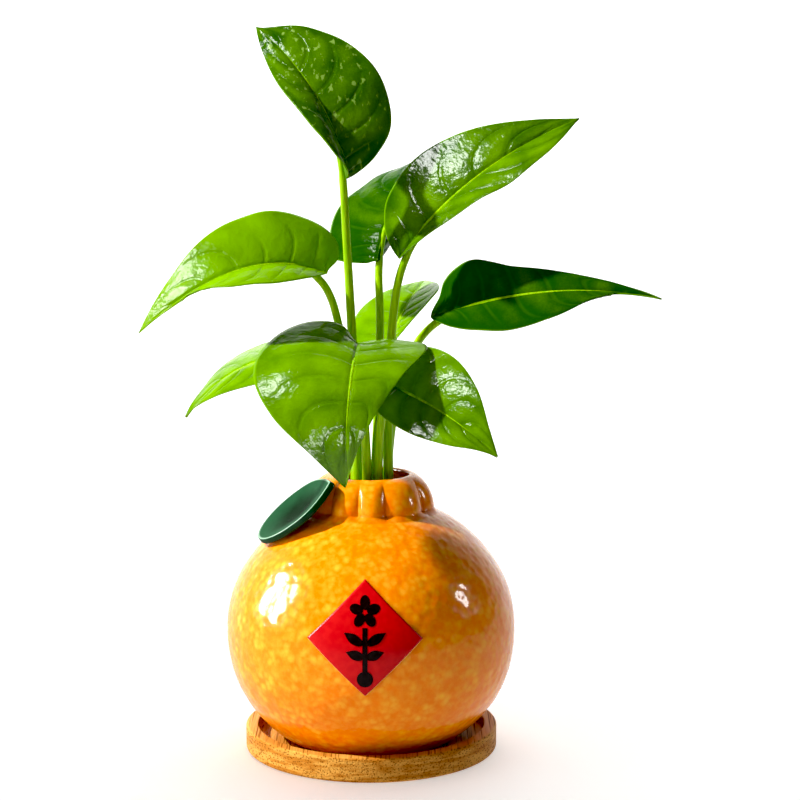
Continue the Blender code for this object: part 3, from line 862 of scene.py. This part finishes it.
def edge_outline(edge, share):
    """A point on one half of a blade's outline, on a smooth curve through its points."""
    given = OUTLINES[edge]
    spans = len(given) - 1
    span = min(int(share * spans), spans - 1)
    t = share * spans - span
    before = (given[1][0], -given[1][1])
    beyond = (2 - given[-2][0], -given[-2][1])
    points = (before, *given, beyond)
    values = []
    for a, b, c, d in zip(*points[span:span + 4]):
        values.append(0.5 * (2 * b + (c - a) * t + (2 * a - 5 * b + 4 * c - d) * t * t
                             + (3 * b - a - 3 * c + d) * t**3))
    return values


def midrib(leaf, share):
    """A point on the arched midrib; a negative share runs on straight behind the stalk."""
    base, tip, arch = Vector(leaf["base"]), Vector(leaf["tip"]), Vector(leaf["arch"])
    if share < 0:
        return base + (tip - base + arch * 4) * share
    return base + (tip - base) * share + arch * (4 * share * (1 - share))


def margin_way(leaf, side, row):
    """The way from the midrib to the margin on one side, turning from stalk to tip."""
    near_stalk = Vector(leaf[side])
    return near_stalk.lerp(Vector(leaf.get(f"{side}_end", near_stalk)), row * row)


def upper_side(leaf, share=0.0):
    """The way that a blade's upper side faces, at a share of the midrib's length."""
    across = margin_way(leaf, "right", share) - margin_way(leaf, "left", share)
    along = midrib(leaf, share + 0.1) - midrib(leaf, share)
    normal = across.cross(along).normalized()
    return normal if normal.dot(Vector(FACE)) > 0 else -normal


def blade_shape(leaf, seed):
    """The blade's middle surface: rows of points fan out from the midrib to the outline."""
    up = upper_side(leaf)
    shape = bmesh.new()
    uv_layer = shape.loops.layers.uv.new("UVMap")
    dark_and_shade_layer = shape.verts.layers.float.new("dark")
    fleck_layer = shape.verts.layers.float.new("flecked")
    bmesh.ops.create_grid(shape, x_segments=BLADE_COLUMNS, y_segments=BLADE_ROWS, size=1, calc_uvs=True)
    home = {vert: (int(vert.co.x >= 0), abs(vert.co.x), (vert.co.y + 1) / 2) for vert in shape.verts}
    for vert, (side, out, row) in home.items():
        edge_along, edge_out = edge_outline(leaf["edges"][side], row)
        if edge_along < 0:
            edge_along *= leaf["lobe"]
        start = row**ROW_POWER
        along = start + (edge_along - start) * out**FAN_POWER
        width = edge_out * out
        way = margin_way(leaf, SIDES[side], row)
        vert.co = midrib(leaf, along) + way * width - up * leaf["sag"][side] * width * width
    shape.normal_update()
    flip = -1 if sum(face.normal.dot(up) for face in shape.faces) < 0 else 1
    moves = {}
    for vert, (side, out, row) in home.items():
        half = margin_way(leaf, SIDES[side], row).length
        reach = edge_outline(leaf["edges"][side], row)[1] * half * out
        groove = -GROOVE_DEPTH * math.exp(-((reach / GROOVE_WIDTH) ** 2)) * smooth(1.0, 0.85, row)
        phase = (row - VEIN_LEAN * out - VEIN_ARCH * out * out) * SIDE_VEINS
        from_vein = abs(phase - round(phase)) / SIDE_VEINS * VEINED_LENGTH
        fade = (1 - 0.8 * out) * smooth(0.0, 0.12, out) * smooth(1.0, 0.8, row)
        veins = -VEIN_DEPTH * math.exp(-((from_vein / VEIN_WIDTH) ** 2)) * fade
        swell = math.sin(math.pi * (phase % 1)) * out * (1 - out) * 4 * smooth(1.0, 0.7, row)
        wave = noise.noise(vert.co / RIPPLE_SPACING + Vector((0, 0, seed * 9))) * out * out
        lift = groove + veins + PUFF_HEIGHT * swell + RIPPLE_HEIGHT * wave
        moves[vert] = vert.normal * flip * lift
    for vert, move in moves.items():
        vert.co += move
        # The blade's darkness is partly its own tone and partly painted shade; its pale flecking is
        # partly variegation and partly painted sheen
        vert[dark_and_shade_layer] = leaf["dark"]
        vert[fleck_layer] = leaf.get("flecked", 0.0)
    bmesh.ops.remove_doubles(shape, verts=shape.verts, dist=BLADE_SEAM_GAP)
    if flip < 0:
        bmesh.ops.reverse_faces(shape, faces=shape.faces)
    return shape


def blade_finish(name, upper):
    """The upper side is deep green and glossy, the underside paler and duller."""
    finish = Finish(name, roughness=0.15, specular_ior_level=0.4)
    uv = finish.node("ShaderNodeUVMap", {"uv_map": "UVMap"})
    across = finish.node("ShaderNodeSeparateXYZ", {}, {0: uv}, output=0)
    row = finish.node("ShaderNodeSeparateXYZ", {}, {0: uv}, output=1)
    # How dark the blade is: partly its own tone, partly painted shade
    dark = finish.painted("dark")
    out = abs(across * 2 - 1)
    phase = (row - out * VEIN_LEAN - out * out * VEIN_ARCH) * SIDE_VEINS
    from_vein = abs(phase - round(phase))
    vein = (1 - from_vein.stepped(0.02, 0.10)) * (1 - out.stepped(0.55, 0.95))
    vein = vein * (1 - row.stepped(0.8, 0.97))
    rib = 1 - out.stepped(0.004, 0.022)
    # A pale line along the margin: painted light shining through the edge
    edge = out.stepped(0.965, 0.995)
    place = finish.object_place()
    cloud = finish.patches(place, 0.07, 3.0)
    cells = finish.patches(place, 1.3, 3.0)
    crinkle = finish.patches(place, 0.4, 2.0)
    # Slightly darker along the side veins and lighter between them: painted shade in the vein furrows
    between = from_vein.stepped(0.0, 0.45) * (1 - out.stepped(0.7, 1.0))
    fresh = (1 - dark) * 0.85 + (cloud - 0.5) * 0.7 + (cells - 0.5) * 0.2 + (between - 0.5) * 0.13
    tone = finish.colours(fresh.stepped(-0.1, 1.0), LEAF_DEEP, LEAF_FRESH)
    # Paler veins and midrib, and the painted light along the margin
    light = (vein * 0.06).highest(rib * 0.4).highest(edge * 0.5)
    if upper:
        # Pale flecking: partly variegation, partly painted sheen
        streaks = finish.patches(finish.object_place((2.2, 2.2, 6)), 1.0, 3.0)
        flecks_and_sheen = streaks.stepped(0.58, 0.68) * finish.painted("flecked")
        tone = finish.colours(flecks_and_sheen * 0.55, tone, LEAF_FLECK_AND_SHEEN)
        finish.use("Base Color", finish.colours(light, tone, LEAF_VEIN_AND_LIT_EDGE))
        finish.use("Roughness", 0.10 + cells * 0.10)
        finish.relief(crinkle - vein * 0.4 - rib * 0.5, 0.0005, 0.5)
    else:
        tone = finish.colours(0.55, tone, LEAF_UNDER)
        finish.use("Base Color", finish.colours(light * 0.8, tone, LEAF_VEIN_AND_LIT_EDGE))
        finish.use("Roughness", 0.45 + cells * 0.2)
        finish.relief(cells, 0.0003, 0.5)
    glow = finish.node("ShaderNodeBsdfTranslucent", {}, {"Color": LEAF_GLOW})
    skin = Shade(finish, finish.shader.outputs[0])
    # Darker blades, whose darkness is partly painted shade, let less light through
    both = finish.node("ShaderNodeMixShader", {}, {0: (1 - dark * 0.85) * 0.28, 1: skin, 2: glow})
    finish.tree.links.new(both.socket, finish.tree.nodes["Material Output"].inputs[0])
    return finish


def stalk_finish():
    """Pale and deeper green streaks along the stalk."""
    finish = Finish("leaf_stalk", roughness=0.45, specular_ior_level=0.2,
                    subsurface_weight=0.25, subsurface_scale=0.002)
    streaks = finish.patches(finish.object_place((0.8, 0.8, 14)), 1.0, 2.0)
    cloud = finish.patches(finish.object_place(), 0.05, 2.0)
    pale = streaks.stepped(0.3, 0.75) * 0.6 + (cloud - 0.4) * 0.6
    finish.use("Base Color", finish.colours(pale, STALK_GREEN, STALK_PALE))
    finish.relief(streaks, 0.0002, 0.4)
    return finish


def stalk_path(leaf):
    """From the foot up to the blade, then on along the underside of the midrib."""
    up = upper_side(leaf)
    arrive = Vector(leaf["arrive"]).normalized()
    slope = math.sqrt(max(0.0, 1 - arrive.dot(up) ** 2))
    foot = Vector((*leaf["foot"], STEM_LEVEL + 0.1))
    seat = Vector(leaf["base"]) - up * (CAD_BLADE / 2 + SEAT_GAP + STALK_TOP_RADIUS * slope)
    reach = (seat - foot).length / 3
    above_foot = foot + Vector((0, 0, reach))
    path = interpolate_bezier(foot, above_foot, seat - arrive * reach, seat, STALK_POINTS)
    knee = STALK_POINTS - 1
    radii = [leaf["radius"] + (STALK_TOP_RADIUS - leaf["radius"]) * i / knee for i in range(knee + 1)]
    for i in range(1, RIB_POINTS + 1):
        share = RIB_START + RIB_LENGTH * i / RIB_POINTS
        radius = STALK_TOP_RADIUS * (1 - i / RIB_POINTS) ** 0.8 * 0.75 + RIB_TIP_RADIUS
        depth = BLADE_THICKNESS / 2 + radius * 0.45
        path.append(midrib(leaf, share) - upper_side(leaf, share) * depth)
        radii.append(radius)
    for _ in range(KNEE_ROUNDS):
        for i in range(knee - KNEE_REACH, knee + KNEE_REACH + 1):
            path[i] = (path[i - 1] + path[i] * 2 + path[i + 1]) / 4
    return path, radii


upper_finish = blade_finish("leaf_upper_side", True)
under_finish = blade_finish("leaf_underside", False)
green_finish = stalk_finish()
for number, (leaf_name, leaf) in enumerate(LEAVES.items()):
    blade = piece_of(f"blade_{leaf_name}", blade_shape(leaf, number), upper_finish, under_finish,
                     turn_out=False)
    blade_wall = blade.modifiers.new("Wall", "SOLIDIFY")
    blade_wall.thickness = BLADE_THICKNESS * MM
    blade_wall.offset = 0
    blade_wall.material_offset = 1
    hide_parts(f"leaf_{leaf_name}")
    stalk_shape = bmesh.new()
    grow_tube(stalk_shape, *stalk_path(leaf), STALK_SIDES)
    stalk = piece_of(f"petiole_{leaf_name}", stalk_shape, green_finish)
    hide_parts(f"stalk_{leaf_name}")


# Studio: a sweep of pale paper that curves up behind into a wall, and has lamps of its own. A
# warm, hard sun comes from the upper left. Two tall windows on the left and a small one on the
# right show only in the glaze and the enamel, and three panels show only as shine on the leaves.
SWEEP_FRONT = -1.6
SWEEP_BEND = 0.9
SWEEP_RADIUS = 0.6
SWEEP_TOP = 2.4
SWEEP_HALF = 2.6
PAPER = (0.86, 0.86, 0.85)
PAPER_LIGHT = (0.90, 0.90, 0.89)
SUN_COLOUR = (1.0, 0.97, 0.88)
LOW_FILL_COLOUR = (1.0, 0.9, 0.6)
ROOM_LIGHT = 0.07
BLACK_LEVEL = 0.012


def paper_finish():
    finish = Finish("pale_paper", roughness=0.8, emission_color=(1, 1, 1, 1), emission_strength=0.25)
    tooth = finish.patches(finish.object_place(), 0.02, 2.0)
    finish.use("Base Color", finish.colours(tooth, PAPER, PAPER_LIGHT))
    return finish


def area_light(name, place, aim, size, watts, colour=(1, 1, 1), diffuse=True, glossy=True):
    """A flat lamp; without glossy it shows in no shine, and without diffuse it shows only there."""
    light = bpy.data.lights.new(name, "AREA")
    light.shape = "RECTANGLE"
    light.size, light.size_y = size
    light.energy = watts
    light.color = colour
    lamp = bpy.data.objects.new(name, light)
    lamp.location = place
    lamp.rotation_euler = (Vector(aim) - Vector(place)).to_track_quat("-Z", "Y").to_euler()
    lamp.visible_diffuse = diffuse
    lamp.visible_glossy = glossy
    bpy.context.scene.collection.objects.link(lamp)
    return lamp


def lights_only(lamp, name, pieces, state="INCLUDE"):
    """Lets a lamp light only these pieces, or with EXCLUDE everything but them."""
    chosen = bpy.data.collections.new(name)
    for piece in pieces:
        chosen.objects.link(piece)
    for member in chosen.collection_objects:
        member.light_linking.link_state = state
    lamp.light_linking.receiver_collection = chosen


sweep_shape = bmesh.new()
bmesh.ops.create_grid(sweep_shape, x_segments=4, y_segments=60, size=1)
bend_length = SWEEP_RADIUS * math.pi / 2
run_length = SWEEP_BEND - SWEEP_FRONT + bend_length + SWEEP_TOP - SWEEP_RADIUS
for vert in sweep_shape.verts:
    run = SWEEP_FRONT + (vert.co.y + 1) / 2 * run_length
    round_bend = min(max((run - SWEEP_BEND) / bend_length, 0.0), 1.0) * math.pi / 2
    back = min(run, SWEEP_BEND) + SWEEP_RADIUS * math.sin(round_bend)
    up = SWEEP_RADIUS * (1 - math.cos(round_bend)) + max(run - SWEEP_BEND - bend_length, 0.0)
    vert.co = (vert.co.x * SWEEP_HALF, back, up)
sweep_mesh = bpy.data.meshes.new("paper_sweep")
sweep_shape.to_mesh(sweep_mesh)
sweep_shape.free()
sweep_mesh.shade_smooth()
sweep_mesh.materials.append(paper_finish().material)
sweep = bpy.data.objects.new("paper_sweep", sweep_mesh)
bpy.context.scene.collection.objects.link(sweep)
sweep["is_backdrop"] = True

sun = area_light("sun_patch", (-1.17, -0.21, 1.22), (0, 0, 0.15), (0.05, 0.05), 54, SUN_COLOUR,
                 glossy=False)
lights_only(sun, "all_but_floor", [sweep], "EXCLUDE")
floor_light = area_light("floor_light", (0, 0.2, 2.5), (0, 0.2, 0), (3, 3), 40, glossy=False)
floor_light.data.use_shadow = False
lights_only(floor_light, "floor_only", [sweep])
area_light("wall_left", (-1.2, -0.5, 0.5), (0, 0, 0.15), (0.9, 0.9), 3.5, glossy=False)
area_light("ceiling", (-0.1, 0.25, 1.5), (0, 0.1, 0.1), (0.9, 0.9), 3, glossy=False)
area_light("backdrop_light", (0, 0.5, 0.95), (0, 1.5, 0.75), (2.4, 0.4), 22)
low_fill = area_light("low_fill", (-0.95, -0.78, 0.14), (0, 0, 0.05), (0.6, 0.25), 5.5,
                      LOW_FILL_COLOUR, glossy=False)
lights_only(low_fill, "pot_and_saucer", [pot, saucer, enamel])
for name, place, size, watts in (("pane_left", (-0.95, 0.13, 0.45), (0.22, 0.55), 22),
                                 ("pane_right", (-0.98, -0.13, 0.45), (0.22, 0.55), 22),
                                 ("small_pane", (0.95, -0.02, 0.42), (0.12, 0.22), 3.2)):
    pane = area_light(name, place, (0, 0, 0.1), size, watts, diffuse=False)
    lights_only(pane, "glazed_for_" + name, [pot, dish, enamel])
for name, place, size, watts, leaves in (
        ("high_glare", (-0.63, -0.57, 1.38), (0.3, 0.3), 8,
         ("top", "left", "back_middle", "upper_right", "small_back", "front", "lower_right",
          "lower_left")),
        ("side_glare", (-0.44, -0.90, 1.32), (0.35, 0.3), 10, ("upper_right", "left")),
        ("front_glare", (0.16, -1.65, 0.32), (0.4, 0.3), 7, ("front",))):
    glare = area_light(name, place, (0, 0, 0.2), size, watts, diffuse=False)
    lights_only(glare, "leaves_for_" + name, [bpy.data.objects["blade_" + leaf] for leaf in leaves])
world = bpy.data.worlds.new("room")
world.use_nodes = True
world.node_tree.nodes["Background"].inputs["Color"].default_value = (1, 1, 1, 1)
world.node_tree.nodes["Background"].inputs["Strength"].default_value = ROOM_LIGHT
bpy.context.scene.world = world
view = bpy.context.scene.view_settings
view.view_transform = "Standard"
view.use_curve_mapping = True
view.curve_mapping.black_level = (BLACK_LEVEL, BLACK_LEVEL, BLACK_LEVEL)
view.curve_mapping.update()

boxes = {"cad": cad_box, "visual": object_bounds()}
plain_boxes = {name: [[float(v) for v in corner] for corner in box] for name, box in boxes.items()}
